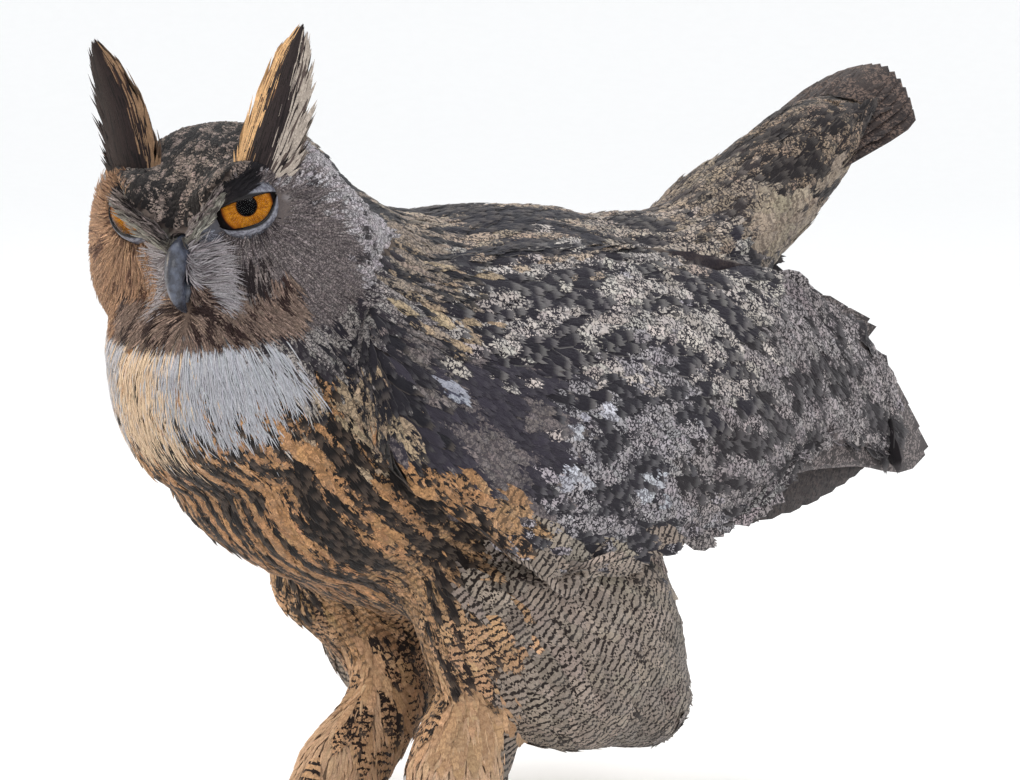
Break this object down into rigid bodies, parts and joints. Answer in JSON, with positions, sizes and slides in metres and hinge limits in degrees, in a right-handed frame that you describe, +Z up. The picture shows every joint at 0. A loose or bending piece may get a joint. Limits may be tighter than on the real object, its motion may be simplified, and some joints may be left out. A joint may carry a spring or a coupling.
{
  "type": "taxidermy eagle owl",
  "caption": "Life-size mounted eagle owl leaning forward, head turned to its left, ear tufts up, wings half drooped and tail raised.",
  "frame": {"origin": "on the floor, below the middle of the bird's box", "axes": "+Z up, -Y the way the body faces, +X the bird's left side; the body's length runs along Y"},
  "size_m": [0.242, 0.5764, 0.4391],
  "materials": {
    "plumage": "matt feathers",
    "wing_plumage": "matt feathers",
    "leg_plumage": "matt down",
    "tuft_plumage": "matt feathers",
    "eye": "polished",
    "bill": "satin horn",
    "claw": "satin horn"
  },
  "bodies": {
    "root": {"head": "plumage", "neck": "plumage", "trunk": "plumage", "rump": "plumage", "thigh_left": "plumage", "thigh_right": "plumage", "shank_left": "leg_plumage", "shank_right": "leg_plumage", "foot_left": "leg_plumage", "foot_right": "leg_plumage", "wing_left": "wing_plumage", "wing_right": "wing_plumage", "secondaries_left": "wing_plumage", "secondaries_right": "wing_plumage", "primaries_left": "wing_plumage", "primaries_right": "wing_plumage", "tail": "wing_plumage", "ear_tuft_left": "tuft_plumage", "ear_tuft_right": "tuft_plumage", "eye_left": "eye", "eye_right": "eye", "bill_upper": "bill", "bill_lower": "bill", "claw_inner_left": "claw", "claw_inner_right": "claw", "claw_middle_left": "claw", "claw_middle_right": "claw", "claw_outer_left": "claw", "claw_outer_right": "claw", "claw_hind_left": "claw", "claw_hind_right": "claw"}
  },
  "joints": []
}
